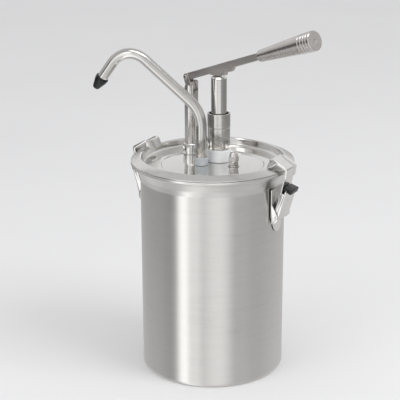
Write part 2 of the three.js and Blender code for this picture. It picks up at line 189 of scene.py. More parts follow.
def steel(name, color, rough, spread, marks="round", centre=(0, 0), aniso=0.0, grain=0.05, dark=0.12, grain_scale=1.0,
          cloud=18.0, wear=0.0):
    """Stainless steel. spread is how far roughness varies; marks is the direction of the polishing lines."""
    m, nt, p = nodes_of(name)
    vec, x, y, z = object_coords(nt)
    if marks == "round":
        fine = around_z(nt, x, y, z, centre[0] * MM, centre[1] * MM, 5.0, 1500 * grain_scale, 1500 * grain_scale)
        broad = around_z(nt, x, y, z, centre[0] * MM, centre[1] * MM, 2.2, 160 * grain_scale, 160 * grain_scale)
    elif marks == "along_x":
        fine = scaled(nt, vec, (60, 1800, 1800))
        broad = scaled(nt, vec, (14, 260, 260))
    elif marks == "along_z":
        fine = scaled(nt, vec, (1800, 1800, 60))
        broad = scaled(nt, vec, (260, 260, 14))
    else:
        fine = scaled(nt, vec, (900, 900, 900))
        broad = scaled(nt, vec, (120, 120, 120))
    lines = noise(nt, fine, 1.0, 4.0, 0.65)
    bands = noise(nt, broad, 1.0, 3.0, 0.6)
    clouds = noise(nt, vec, cloud, 4.0, 0.6, 0.3)
    mix = math_node(nt, "MULTIPLY_ADD", lines, 0.45, math_node(nt, "MULTIPLY_ADD", bands, 0.3, math_node(nt, "MULTIPLY", clouds, 0.25)))
    nt.links.new(map_range(nt, mix, 0.3, 0.7, max(0.02, rough - spread), rough + spread), p.inputs["Roughness"])
    tone = math_node(nt, "MULTIPLY_ADD", bands, 0.5, math_node(nt, "MULTIPLY", clouds, 0.5))
    d = tuple(c * (1 - dark) for c in color)
    col = ramp(nt, tone, [(0.3, d), (0.5, color), (0.72, tuple(min(1, c * 1.04) for c in color))])
    nt.links.new(col, p.inputs["Base Color"])
    p.inputs["Metallic"].default_value = 1.0
    if aniso:
        p.inputs["Anisotropic"].default_value = aniso
        t = nt.nodes.new("ShaderNodeTangent")
        t.direction_type = "RADIAL"
        t.axis = "Z"
        nt.links.new(t.outputs["Tangent"], p.inputs["Tangent"])
        p.inputs["Anisotropic Rotation"].default_value = 0.25
    bump(nt, p, lines, grain, 0.0001)
    return m


def rougher_beyond(m, r0, r1, extra):
    """Adds roughness beyond a radius from the pot's axis, for a part that is brushed there."""
    nt = m.node_tree
    p = next(n for n in nt.nodes if n.type == "BSDF_PRINCIPLED")
    link = p.inputs["Roughness"].links[0]
    source = link.from_socket
    vec, x, y, z = object_coords(nt)
    r = math_node(nt, "SQRT", math_node(nt, "ADD", math_node(nt, "MULTIPLY", x, x), math_node(nt, "MULTIPLY", y, y)))
    nt.links.new(math_node(nt, "ADD", source, map_range(nt, r, r0 * MM, r1 * MM, 0.0, extra)), p.inputs["Roughness"])
    return m


def turned_about(name, color, rough, spread, origin, axis, aniso=0.4, grain=0.1, dark=0.12):
    """Steel turned about an axis of its own: marks and highlights run round that axis."""
    m, nt, p = nodes_of(name)
    tc = nt.nodes.new("ShaderNodeTexCoord")

    def vector(op, a, b):
        n = nt.nodes.new("ShaderNodeVectorMath")
        n.operation = op
        for i, v in enumerate((a, b)):
            if isinstance(v, (tuple, list, Vector)):
                n.inputs[i].default_value = tuple(v)
            else:
                nt.links.new(v, n.inputs[i])
        return n.outputs["Value"] if op in ("DOT_PRODUCT", "LENGTH") else n.outputs["Vector"]

    ez = Vector(axis).normalized()
    ex = Vector((0, 1, 0))
    ey = ez.cross(ex).normalized()
    v = vector("SUBTRACT", tc.outputs["Object"], Vector(origin) * MM)
    x, y, z = (vector("DOT_PRODUCT", v, e) for e in (ex, ey, ez))
    fine = around_z(nt, x, y, z, 0, 0, 3.0, 1500, 1500)
    broad = around_z(nt, x, y, z, 0, 0, 1.5, 260, 260)
    lines = noise(nt, fine, 1.0, 4.0, 0.65)
    bands = noise(nt, broad, 1.0, 3.0, 0.6)
    clouds = noise(nt, v, 60.0, 4.0, 0.6, 0.3)
    mix = math_node(nt, "MULTIPLY_ADD", lines, 0.45, math_node(nt, "MULTIPLY_ADD", bands, 0.3, math_node(nt, "MULTIPLY", clouds, 0.25)))
    nt.links.new(map_range(nt, mix, 0.3, 0.7, max(0.02, rough - spread), rough + spread), p.inputs["Roughness"])
    tone = math_node(nt, "MULTIPLY_ADD", bands, 0.5, math_node(nt, "MULTIPLY", clouds, 0.5))
    d = tuple(c * (1 - dark) for c in color)
    nt.links.new(ramp(nt, tone, [(0.3, d), (0.5, color), (0.72, tuple(min(1, c * 1.04) for c in color))]), p.inputs["Base Color"])
    p.inputs["Metallic"].default_value = 1.0
    p.inputs["Anisotropic"].default_value = aniso
    p.inputs["Anisotropic Rotation"].default_value = 0.25
    to_world = nt.nodes.new("ShaderNodeVectorTransform")
    to_world.vector_type = "VECTOR"
    to_world.convert_from = "OBJECT"
    to_world.convert_to = "WORLD"
    nt.links.new(vector("NORMALIZE", vector("CROSS_PRODUCT", ez, v), (0, 0, 0)), to_world.inputs["Vector"])
    nt.links.new(to_world.outputs["Vector"], p.inputs["Tangent"])
    bump(nt, p, lines, grain, 0.0001)
    return m


def plastic(name, color, rough, tint=0.05, scale=400.0, grain=0.12, sss=0.0, clear=0.0, turned=False, centre=(0, 0)):
    m, nt, p = nodes_of(name)
    vec, x, y, z = object_coords(nt)
    fine = around_z(nt, x, y, z, centre[0] * MM, centre[1] * MM, 3.0, 1400, 1400) if turned else scaled(nt, vec, (scale,) * 3)
    a = noise(nt, fine, 1.0 if turned else 3.0, 4.0, 0.6)
    b = noise(nt, vec, 45.0, 4.0, 0.6)
    lo = tuple(c * (1 - tint) for c in color)
    nt.links.new(ramp(nt, b, [(0.32, lo), (0.6, color)]), p.inputs["Base Color"])
    nt.links.new(map_range(nt, math_node(nt, "MULTIPLY_ADD", a, 0.5, math_node(nt, "MULTIPLY", b, 0.5)), 0.3, 0.7,
                           max(0.05, rough - 0.08), rough + 0.08), p.inputs["Roughness"])
    if sss:
        p.inputs["Subsurface Weight"].default_value = sss
        p.inputs["Subsurface Radius"].default_value = (0.006, 0.006, 0.007)
        p.inputs["Subsurface Scale"].default_value = 0.5
    if clear:
        p.inputs["Coat Weight"].default_value = clear
        p.inputs["Coat Roughness"].default_value = 0.08
    bump(nt, p, a, grain, 0.0001)
    return m


MAT = {
    "pot": steel("satin_steel_pot", (0.78, 0.765, 0.745), 0.30, 0.05, "round", aniso=0.88, grain=0.02, dark=0.06, cloud=14),
    "lid": steel("polished_steel_lid", (0.80, 0.79, 0.775), 0.085, 0.035, "round", grain=0.015, dark=0.05),
    "rim": steel("satin_steel_rim", (0.78, 0.77, 0.75), 0.2, 0.05, "round", aniso=0.5, grain=0.04, dark=0.06),
    "plunger": steel("polished_steel_plunger", (0.72, 0.71, 0.69), 0.10, 0.04, "round", PLUNGER, grain=0.03, dark=0.08),
    "guide": steel("turned_steel_guide", (0.68, 0.665, 0.64), 0.13, 0.05, "round", PLUNGER, grain=0.05, dark=0.1),
    # painted shade: the spout's steel gets a darker base colour than the lid's, standing in for the darker reflections
    # along the tube
    "spout": steel("polished_steel_spout_painted_shade", (0.66, 0.645, 0.625), 0.12, 0.05, "all", grain=0.02, dark=0.08, cloud=40),
    "column": steel("satin_steel_column", (0.70, 0.68, 0.66), 0.20, 0.06, "round", (COLUMN_X, LEVER_Y), grain=0.05, dark=0.08),
    # painted reflection: the link's steel gets a darker, brownish base colour, standing in for the pinkish-brown
    # reflection on its plates
    "link": steel("matt_steel_link_painted_reflection", (0.58, 0.54, 0.52), 0.34, 0.07, "all", grain=0.06, dark=0.1, cloud=80),
    "collar": steel("polished_steel_collar", (0.82, 0.81, 0.79), 0.09, 0.04, "round", (COLUMN_X, LEVER_Y), grain=0.02),
    "bar": steel("matt_steel_bar", (0.50, 0.475, 0.455), 0.44, 0.08, "along_x", grain=0.16, dark=0.16, cloud=60),
    # painted shade: the grip's steel gets a darker base colour than the lid's, standing in for the darker look of its
    # sides and end face
    "grip": turned_about("turned_steel_grip_painted_shade", (0.66, 0.63, 0.61), 0.24, 0.07, (LEVER_PIN[0], LEVER_Y, LEVER_PIN[1]),
                         (math.cos(LEVER_TILT), 0, math.sin(LEVER_TILT))),
    "sheet": steel("pressed_steel_latch", (0.80, 0.79, 0.775), 0.18, 0.07, "all", grain=0.05, dark=0.08, cloud=60),
    "nut": steel("bright_steel_nuts", (0.74, 0.71, 0.69), 0.06, 0.03, "all", grain=0.04, dark=0.12, cloud=120),
    "pin": steel("bright_steel_pins", (0.80, 0.79, 0.77), 0.12, 0.05, "all", grain=0.03, dark=0.1, cloud=120),
    "inside": steel("satin_steel_inside", (0.70, 0.69, 0.67), 0.32, 0.08, "round", PLUNGER, grain=0.08, dark=0.1),
    "wire": steel("spring_steel_wire", (0.52, 0.52, 0.53), 0.26, 0.08, "along_z", grain=0.06, dark=0.2),
    "white": plastic("white_acetal", (0.86, 0.875, 0.88), 0.34, 0.03, turned=True, centre=PLUNGER, grain=0.1, sss=0.15),
    "grey": plastic("grey_translucent_plastic", (0.50, 0.535, 0.56), 0.28, 0.06, turned=True, centre=SPOUT, grain=0.06, sss=0.2, clear=0.3),
    "black": plastic("black_moulded_plastic", (0.004, 0.0045, 0.006), 0.30, 0.25, grain=0.08, clear=0.0),
    "rubber": plastic("black_rubber", (0.03, 0.03, 0.032), 0.6, 0.2, grain=0.3),
    "silicone": plastic("pale_silicone", (0.72, 0.70, 0.66), 0.5, 0.06, grain=0.2),
}

rougher_beyond(MAT["lid"], 102.0, 103.4, 0.13)


# ---------------------------------------------------------------- mesh helpers, all in mm
def new_object(name, verts, faces, xform=None, sharp=38.0):
    me = bpy.data.meshes.new(name)
    vs = [Vector(v) for v in verts]
    if xform is not None:
        vs = [xform @ v for v in vs]
    me.from_pydata([v * MM for v in vs], [], faces)
    bm = bmesh.new()
    bm.from_mesh(me)
    bmesh.ops.remove_doubles(bm, verts=bm.verts, dist=1e-6)
    bmesh.ops.recalc_face_normals(bm, faces=bm.faces)
    if bm.calc_volume(signed=True) < 0:
        bmesh.ops.reverse_faces(bm, faces=bm.faces)
    bm.to_mesh(me)
    bm.free()
    ob = bpy.data.objects.new(name, me)
    scene.collection.objects.link(ob)
    smooth(ob, sharp)
    return ob


def smooth(ob, sharp=38.0):
    ob.data.shade_smooth()
    ob.data.set_sharp_from_angle(angle=math.radians(sharp))


def weighted(ob):
    w = ob.modifiers.new("normals", "WEIGHTED_NORMAL")
    w.keep_sharp = True
    w.weight = 80
    return ob


def fillet(points, radius, n=4, closed=False, keep=()):
    """Rounds the corners of a 2D or 3D line. radius is one number or one for each point."""
    pts = [Vector(p) for p in points]
    out = []
    count = len(pts)
    for i, b in enumerate(pts):
        r = radius[i] if isinstance(radius, (list, tuple)) else radius
        if (not closed and i in (0, count - 1)) or r <= 0 or i in keep:
            out.append(b)
            continue
        a, c = pts[i - 1], pts[(i + 1) % count]
        u, v = (a - b), (c - b)
        lu, lv = u.length, v.length
        if lu < 1e-6 or lv < 1e-6:
            out.append(b)
            continue
        u, v = u / lu, v / lv
        ang = u.angle(v, math.pi)
        if ang > math.radians(176):
            out.append(b)
            continue
        t = min(r / math.tan(ang / 2), lu * 0.48, lv * 0.48)
        p0, p1 = b + u * t, b + v * t
        for k in range(n + 1):
            s = k / n
            # a quadratic arc is close enough to a circle at these sizes
            out.append(p0 * (1 - s) ** 2 + b * (2 * s * (1 - s)) + p1 * s ** 2)
    return out


def lathe_parts(profile, segments=96, radius=0.35, n=3):
    """Vertices and faces of a closed body of revolution from a closed [radius, height] profile."""
    pts = [tuple(p) for p in profile]
    on_axis = [i for i, p in enumerate(pts) if p[0] < 1e-6]
    line = fillet([(r, z) for r, z in pts], [0 if i in on_axis else (radius[i] if isinstance(radius, (list, tuple)) else radius) for i in range(len(pts))], n, closed=True)
    line = [(max(0.0, p[0]), p[1]) for p in line]
    verts, rings = [], []
    for r, z in line:
        if r < 1e-6:
            rings.append([len(verts)] * segments)
            verts.append((0, 0, z))
        else:
            first = len(verts)
            for k in range(segments):
                a = 2 * math.pi * k / segments
                verts.append((r * math.cos(a), r * math.sin(a), z))
            rings.append(list(range(first, first + segments)))
    faces = []
    m = len(rings)
    for i in range(m):
        r0, r1 = rings[i], rings[(i + 1) % m]
        if r0[0] == r0[-1] and r1[0] == r1[-1]:
            continue
        for k in range(segments):
            l = (k + 1) % segments
            f = [r0[k], r0[l], r1[l], r1[k]]
            f = [v for j, v in enumerate(f) if v not in f[:j]]
            if len(f) > 2:
                faces.append(f)
    return verts, faces


def lathe(name, profile, at=(0, 0), segments=96, radius=0.35, n=3, xform=None, sharp=38.0):
    verts, faces = lathe_parts(profile, segments, radius, n)
    move = Matrix.Translation((at[0], at[1], 0)) if xform is None else xform
    return new_object(name, verts, faces, move, sharp)


def cross_pin(name, radius, x, z, y0, y1, chamfer=0.4, segments=48, extra=None):
    """A pin along Y, at x, z."""
    turn = Matrix.Translation((x, 0, z)) @ Matrix.Rotation(math.radians(-90), 4, "X")
    prof = extra or [(0, y0), (radius - chamfer, y0), (radius, y0 + chamfer), (radius, y1 - chamfer), (radius - chamfer, y1), (0, y1)]
    return lathe(name, prof, segments=segments, radius=0.15, xform=turn)


def sweep(name, path, section, closed_section=True, up=(0, 1, 0), sharp=38.0, scale=None):
    """A section of (u, v) points carried along a path; u runs along the path's side and v along its normal."""
    pts = [Vector(p) for p in path]
    t0 = (pts[1] - pts[0]).normalized()
    side = Vector(up)
    side = (side - t0 * side.dot(t0)).normalized()
    verts, rings = [], []
    prev = t0
    for i, p in enumerate(pts):
        if i == 0:
            t = t0
        elif i == len(pts) - 1:
            t = (pts[i] - pts[i - 1]).normalized()
        else:
            t = ((pts[i + 1] - p).normalized() + (p - pts[i - 1]).normalized()).normalized()
        side = prev.rotation_difference(t) @ side
        side = (side - t * side.dot(t)).normalized()
        normal = t.cross(side)
        prev = t
        ring = []
        sec = section(i) if callable(section) else section
        for u, v in sec:
            ring.append(len(verts))
            verts.append(p + side * u + normal * v)
        rings.append(ring)
    return verts, rings


def grid_faces(rings, flip=False):
    faces = []
    for i in range(len(rings) - 1):
        a, b = rings[i], rings[i + 1]
        m = len(a)
        for k in range(m):
            l = (k + 1) % m
            faces.append([a[k], a[l], b[l], b[k]])
    return faces


def circle(r, n):
    return [(r * math.cos(2 * math.pi * k / n), r * math.sin(2 * math.pi * k / n)) for k in range(n)]


def hollow_tube(name, path, outer, inner, sides=56, edge=0.3):
    """A tube with wall thickness and softened ends."""
    count = len(path)
    vo, ro = sweep(name, path, lambda i: circle(outer - (edge if i in (0, count - 1) else 0), sides))
    vi, ri = sweep(name, path, lambda i: circle(inner + (edge if i in (0, count - 1) else 0), sides))
    off = len(vo)
    ri = [[v + off for v in ring] for ring in ri]
    faces = grid_faces(ro) + [list(reversed(f)) for f in grid_faces(ri)]
    for ring_o, ring_i, rev in ((ro[0], ri[0], True), (ro[-1], ri[-1], False)):
        for k in range(sides):
            l = (k + 1) % sides
            f = [ring_o[k], ring_o[l], ring_i[l], ring_i[k]]
            faces.append(list(reversed(f)) if rev else f)
    return new_object(name, list(vo) + list(vi), faces)


def solid_along(name, path, section, up=(0, 1, 0), xform=None, sharp=38.0, flat=False):
    verts, rings = sweep(name, path, section, up=up)
    faces = grid_faces(rings)
    faces.append(list(reversed(rings[0])))
    faces.append(list(rings[-1]))
    return new_object(name, verts, faces, xform, sharp)


def rounded_rect(hw, ht, r, n=4):
    """Half width hw along u and half height ht along v, corner radius r."""
    out = []
    for cx, cy, a0 in ((hw - r, ht - r, 0), (-hw + r, ht - r, 90), (-hw + r, -ht + r, 180), (hw - r, -ht + r, 270)):
        for k in range(n + 1):
            a = math.radians(a0 + 90 * k / n)
            out.append((cx + r * math.cos(a), cy + r * math.sin(a)))
    return out


def offset_polygon(poly, d):
    """Moves every edge of a counter-clockwise polygon inwards by d."""
    n = len(poly)
    out = []
    for i in range(n):
        a, b, c = Vector(poly[i - 1]), Vector(poly[i]), Vector(poly[(i + 1) % n])
        d1, d2 = (b - a).normalized(), (c - b).normalized()
        n1, n2 = Vector((-d1.y, d1.x)), Vector((-d2.y, d2.x))
        s = n1 + n2
        k = d / max(0.35, 0.5 * s.length_squared)
        out.append(b + s * k)
    return out


def area2(poly):
    return sum(poly[i][0] * poly[(i + 1) % len(poly)][1] - poly[(i + 1) % len(poly)][0] * poly[i][1] for i in range(len(poly)))


def plate(name, outline, y0, y1, edge=0.5, steps=3, xform=None, sharp=38.0):
    """A flat plate drawn in X and Z with rounded edges, its thickness along Y."""
    poly = [Vector(p) for p in outline]
    if area2(poly) < 0:
        poly.reverse()
    layers = []
    for k in range(steps + 1):
        a = math.radians(90 * k / steps)
        layers.append((y0 + edge * (1 - math.sin(a)), edge * (1 - math.cos(a))))
    # from the face inwards: at y0 the outline is inset by edge, at y0 + edge it is whole
    layers = [(y0 + edge * (1 - math.cos(math.radians(90 * k / steps))), edge * (1 - math.sin(math.radians(90 * k / steps)))) for k in range(steps + 1)]
    layers += [(y0 + y1 - y, d) for y, d in reversed(layers)]
    verts, rings = [], []
    for y, d in layers:
        ring = []
        for p in offset_polygon(poly, d):
            ring.append(len(verts))
            verts.append((p.x, y, p.y))
        rings.append(ring)
    faces = grid_faces(rings)
    faces.append(list(reversed(rings[0])))
    faces.append(list(rings[-1]))
    return new_object(name, verts, faces, xform, sharp)


def arc_pts(cx, cy, r, a0, a1, n):
    return [(cx + r * math.cos(math.radians(a0 + (a1 - a0) * k / n)), cy + r * math.sin(math.radians(a0 + (a1 - a0) * k / n))) for k in range(n + 1)]


def apply_modifiers(ob):
    bpy.context.view_layer.update()
    dg = bpy.context.evaluated_depsgraph_get()
    me = bpy.data.meshes.new_from_object(ob.evaluated_get(dg))
    ob.modifiers.clear()
    ob.data = me
    return ob


def boolean(a, b, operation="DIFFERENCE", sharp=38.0):
    m = a.modifiers.new("cut", "BOOLEAN")
    m.object = b
    m.operation = operation
    m.solver = "EXACT"
    apply_modifiers(a)
    bpy.data.objects.remove(b)
    smooth(a, sharp)
    return a


def cylinder(name, r, z0, z1, at=(0, 0), segments=64):
    return lathe(name, [(0, z0), (r, z0), (r, z1), (0, z1)], at, segments, 0)


def refined(node, name, width=0.4, segments=3, angle=32.0, sharp=40.0):
    """A detailed copy of a node's solid: merged flat faces and rounded edges."""
    src = NODES[node]
    me = src.data.copy()
    me.materials.clear()
    ob = bpy.data.objects.new(name, me)
    scene.collection.objects.link(ob)
    bm = bmesh.new()
    bm.from_mesh(me)
    bmesh.ops.remove_doubles(bm, verts=bm.verts, dist=2e-6)
    bmesh.ops.dissolve_limit(bm, angle_limit=math.radians(1.0), verts=bm.verts, edges=bm.edges, delimit=set())
    bm.to_mesh(me)
    bm.free()
    b = ob.modifiers.new("edges", "BEVEL")
    b.width = width * MM
    b.segments = segments
    b.limit_method = "ANGLE"
    b.angle_limit = math.radians(angle)
    b.use_clamp_overlap = True
    b.harden_normals = False
    b.miter_outer = "MITER_ARC"
    apply_modifiers(ob)
    smooth(ob, sharp)
    return ob


def finish_piece(ob, material, slot, body, *nodes):
    ob.data.materials.clear()
    ob.data.materials.append(MAT[material])
    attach(ob, body)
    if nodes:
        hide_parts(*nodes)
    return ob


# ---------------------------------------------------------------- pot, lid and gasket
pot = lathe("pot_shell", [
    (0, 0), (98.6, 0), (101.6, 1.4), (POT_R, 4.6), (POT_R, 281.5), (105, 289.5), (111.4, 300.2), (114.4, 301.5),
    (116.2, 304.2), (114.6, 306.8), (111.8, 306.8), (110.4, 304.3), (109.9, 300.4), (103.9, 290),
    (POT_R - 1, 281.7), (POT_R - 1, 4.8), (100, 1.9), (98.2, 1.2), (0, 1.2)],
    segments=224, radius=[0, 1.2, 1.6, 3.0, 6.0, 14.0, 2.2, 1.2, 1.7, 1.2, 0.8, 0.5, 4.0, 9.0, 4.0, 2.0, 1.0, 0.8, 0], n=6)
finish_piece(weighted(pot), "pot", "satin_steel", "root", "pot_body")

lid = lathe("lid_pan", [
    (0, LID_Z - 1), (72.8, LID_Z - 1), (74, 300), (98, 300), (101, 302.6), (101.5, 311.5),
    (102.8, 312.3), (112.9, 308.2), (114.3, 307.4), (115.6, 307.3), (115.6, 308.2),
    (104.2, 312.9), (102.6, 313.5), (101, 313), (100.3, 311.4), (100.1, 303.6),
    (98, 301), (73.6, 301), (72.3, LID_Z), (0, LID_Z)],
    segments=224, radius=[0, 0.8, 0.8, 2.4, 1.6, 0.8, 0.7, 0.8, 0.6, 0.25, 0.4, 1.6, 0.7, 0.7, 1.4, 2.6, 2.4, 1.0, 1.0, 0], n=5)
for i, (r, c) in enumerate(((13.2, PLUNGER), (8.3, SPOUT), (5.4, (COLUMN_X, LEVER_Y)), (4.4, STUDS["front"]), (4.4, STUDS["rear"]))):
    lid = boolean(lid, cylinder(f"cut_{i}", r, 290, 305, c, 48))
finish_piece(lid, "lid", "polished_steel", "root", "lid")

gasket = lathe("lid_seal_ring", [(104.6, 305.8), (109.9, 305.8), (109.9, 308.9), (104.6, 310.9)], segments=160, radius=0.5)
finish_piece(gasket, "silicone", "silicone", "root", "lid_gasket")

# ---------------------------------------------------------------- pump
bush = lathe("pump_neck_bushing", [
    (4.3, 284), (12.6, 284), (12.6, 299.8), (17.5, 299.8), (17.6, 302), (17.2, 316.2), (16.4, 317.3), (4.3, 317.3)],
    PLUNGER, 96, [0.3, 0.5, 0.3, 0.5, 0.8, 0.8, 0.8, 0.4])
finish_piece(weighted(bush), "white", "white_plastic", "root", "pump_bushing")

guide = lathe("plunger_guide", [
    (14.2, 317.6), (16.1, 317.6), (16.1, 348.4), (15.75, 348.9), (15.75, 349.5), (16.4, 350.1), (16.4, 369.5), (14.2, 369.5)],
    PLUNGER, 112, [0.2, 0.4, 0.25, 0.2, 0.2, 0.35, 0.55, 0.5], n=3)
finish_piece(weighted(guide), "guide", "polished_steel", "root", "guide_sleeve")

sleeve = lathe("plunger_tube", [(9.9, 353), (11.15, 353), (11.15, 418.7), (9.9, 418.7)], PLUNGER, 96, 0.3)
finish_piece(weighted(sleeve), "plunger", "polished_steel", "plunger", "plunger_sleeve")

cap = lathe("plunger_button", [
    (0, 417.5), (4.3, 417.5), (4.3, 414.5), (9.6, 414.5), (9.6, 419), (11.15, 419), (11.15, 420.0),
    (9.2, 422), (0, 422)], PLUNGER, 96, [0, 0.2, 0.2, 0.3, 0.1, 0.2, 0.5, 1.0, 0])
finish_piece(weighted(cap), "plunger", "polished_steel", "plunger", "plunger_cap")

rod = lathe("piston_rod_bar", [(0, 255), (3.4, 255), (4, 255.6), (4, 416.6), (3.4, 417.2), (0, 417.2)], PLUNGER, 48, 0.15)
finish_piece(rod, "plunger", "polished_steel", "plunger", "piston_rod")
piston = lathe("pump_piston", [(4.3, 262), (16.7, 262), (16.7, 266), (14.5, 266), (14.5, 270), (16.7, 270), (16.7, 274), (4.3, 274)],
               PLUNGER, 72, 0.4)
finish_piece(piston, "white", "white_plastic", "plunger", "piston")
seal = lathe("piston_ring", [(14.8, 266.3), (16.85, 266.3), (16.85, 269.7), (14.8, 269.7)], PLUNGER, 72, 0.7)
finish_piece(seal, "rubber", "black_rubber", "plunger", "piston_seal")


def hex_nut(name, af, z0, z1, bore, at, turn=0.0, chamfer=0.9):
    r = af / math.sqrt(3)
    body = lathe(name, [(bore, z0 + 0.4), (bore + 0.4, z0), (r - chamfer, z0), (r + 0.02, z0 + chamfer * 0.55), (r + 0.02, z1 - chamfer * 0.55),
                        (r - chamfer, z1), (bore + 0.4, z1), (bore, z1 - 0.4)], at, 96, 0.05)
    hexa = lathe(name + "_h", [(0, z0 - 1), (r, z0 - 1), (r, z1 + 1), (0, z1 + 1)], segments=6, radius=0,
                 xform=Matrix.Translation((at[0], at[1], 0)) @ Matrix.Rotation(turn, 4, "Z"), sharp=20)
    body = boolean(body, hexa, "INTERSECT", 24.0)
    return body


nut = hex_nut("piston_lock_nut", 13, 256.2, 261.7, 4.3, PLUNGER)
finish_piece(nut, "nut", "satin_steel", "plunger", "piston_nut")

# return spring: a wire coil of even pitch
TURNS = 7
coil = []
STEPS = 26
Z0, Z1 = 319.0, 413.1
for i in range(TURNS * STEPS + 1):
    t = i / (TURNS * STEPS)
    a = 2 * math.pi * TURNS * t
    coil.append((PLUNGER[0] + 8.1 * math.cos(a), PLUNGER[1] + 8.1 * math.sin(a), Z0 + (Z1 - Z0) * t))
spring = solid_along("return_coil", coil, circle(0.9, 12), up=(0, 0, 1))
finish_piece(spring, "wire", "spring_steel", "root", "return_spring")
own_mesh(spring)

barrel = lathe("pump_cylinder", [(17.15, 212), (19, 212), (19, 292.1), (17.15, 292.1)], PLUNGER, 72, 0.4)
finish_piece(barrel, "inside", "satin_steel", "root", "pump_barrel")
for node, mat, sl in (("pump_flange", "inside", "satin_steel"), ("flange_gasket", "silicone", "silicone"),
                      ("valve_body", "white", "white_plastic"), ("suction_tube", "inside", "satin_steel"),
                      ("column_nut", "nut", "satin_steel")):
    piece = refined(node, node + "_detail", 0.4, 2)
    finish_piece(piece, mat, sl, "root", node)


def ball(name, r, centre):
    bm = bmesh.new()
    bmesh.ops.create_icosphere(bm, subdivisions=4, radius=r * MM)
    bmesh.ops.translate(bm, verts=bm.verts, vec=Vector(centre) * MM)
    me = bpy.data.meshes.new(name)
    bm.to_mesh(me)
    bm.free()
    ob = bpy.data.objects.new(name, me)
    scene.collection.objects.link(ob)
    ob.data.shade_smooth()
    return ob


finish_piece(ball("inlet_valve_ball", 5.98, (*PLUNGER, 200.4)), "pin", "polished_steel", "inlet_valve", "inlet_ball")
finish_piece(ball("outlet_valve_ball", 5.48, (*SPOUT, 208.2)), "pin", "polished_steel", "outlet_valve", "outlet_ball")

# ---------------------------------------------------------------- spout
riser = lathe("riser_tube", [
    (6.4, 218.3), (8, 218.3), (8, 262), (10.2, 264), (10.2, 284), (8.1, 284), (8.1, 265), (6.4, 264)], SPOUT, 64, 0.3)
finish_piece(riser, "inside", "satin_steel", "root", "discharge_tube")
sp_seal = lathe("spout_ring", [(8.1, 284.3), (10.4, 284.3), (10.4, 286.8), (8.1, 286.8)], SPOUT, 64, 0.6)
finish_piece(sp_seal, "rubber", "black_rubber", "root", "spout_seal")
sp_bush = lathe("spout_neck_bushing", [(8.1, 299.8), (9.5, 299.8), (9.45, 301), (9.2, 310.0), (8.7, 310.8), (8.1, 310.8)], SPOUT, 80,
                [0.1, 0.4, 0.5, 0.5, 0.4, 0.15])
finish_piece(weighted(sp_bush), "grey", "grey_plastic", "root", "spout_bushing")

NECK_R, CREST_R, RISE, FALL = 46, 34.7, 39, 53.8
mouth = (149.6, 415.5)
fall = (math.cos(math.radians(FALL)), -math.sin(math.radians(FALL)))
neck = arc_pts(NECK_R, 354.6, NECK_R, 180, 180 - (90 - RISE), 22)
crest = arc_pts(111.8 - 0.187 * CREST_R, 467.2 - 1.438 * CREST_R, CREST_R, 90 + RISE, 90 - FALL, 34)
end = (mouth[0] + fall[0] * 6, mouth[1] + fall[1] * 6)


def between(a, b, n):
    return [(a[0] + (b[0] - a[0]) * k / n, a[1] + (b[1] - a[1]) * k / n) for k in range(1, n)]


line = [(0, 267), (0, 267.5), (0, 290), (0, 320)] + between((0, 320), neck[0], 4) + neck
line += between(neck[-1], crest[0], 10) + crest + between(crest[-1], end, 6) + [(end[0] - fall[0] * 0.3, end[1] - fall[1] * 0.3), end]
path3 = [Vector((SPOUT[0] + s * math.cos(SPOUT_AZ), SPOUT[1] + s * math.sin(SPOUT_AZ), z)) for s, z in line]
spout = hollow_tube("swan_neck_spout", path3, 7.78, 6.42, 64)
finish_piece(spout, "spout", "polished_steel", "root", "spout_tube")

fall3 = Vector((fall[0] * math.cos(SPOUT_AZ), fall[0] * math.sin(SPOUT_AZ), fall[1])).normalized()
mouth3 = Vector((SPOUT[0] + mouth[0] * math.cos(SPOUT_AZ), SPOUT[1] + mouth[0] * math.sin(SPOUT_AZ), mouth[1]))
tip_frame = Matrix.Translation(mouth3) @ Vector((0, 0, 1)).rotation_difference(fall3).to_matrix().to_4x4()
nozzle = lathe("spout_nozzle", [
    (2.6, 8), (2.6, 20), (4.15, 20), (5.15, 18.5), (8.95, 6.4), (9.4, 3.4), (9.45, 1.2), (8.95, 0), (8.15, 0), (8.15, 6.8), (4, 8)],
    segments=80, radius=[0.3, 0.4, 0.5, 0.8, 2.0, 1.0, 0.6, 0.6, 0.3, 0.3, 0.3], xform=tip_frame)
finish_piece(nozzle, "black", "black_plastic", "root", "nozzle_tip")

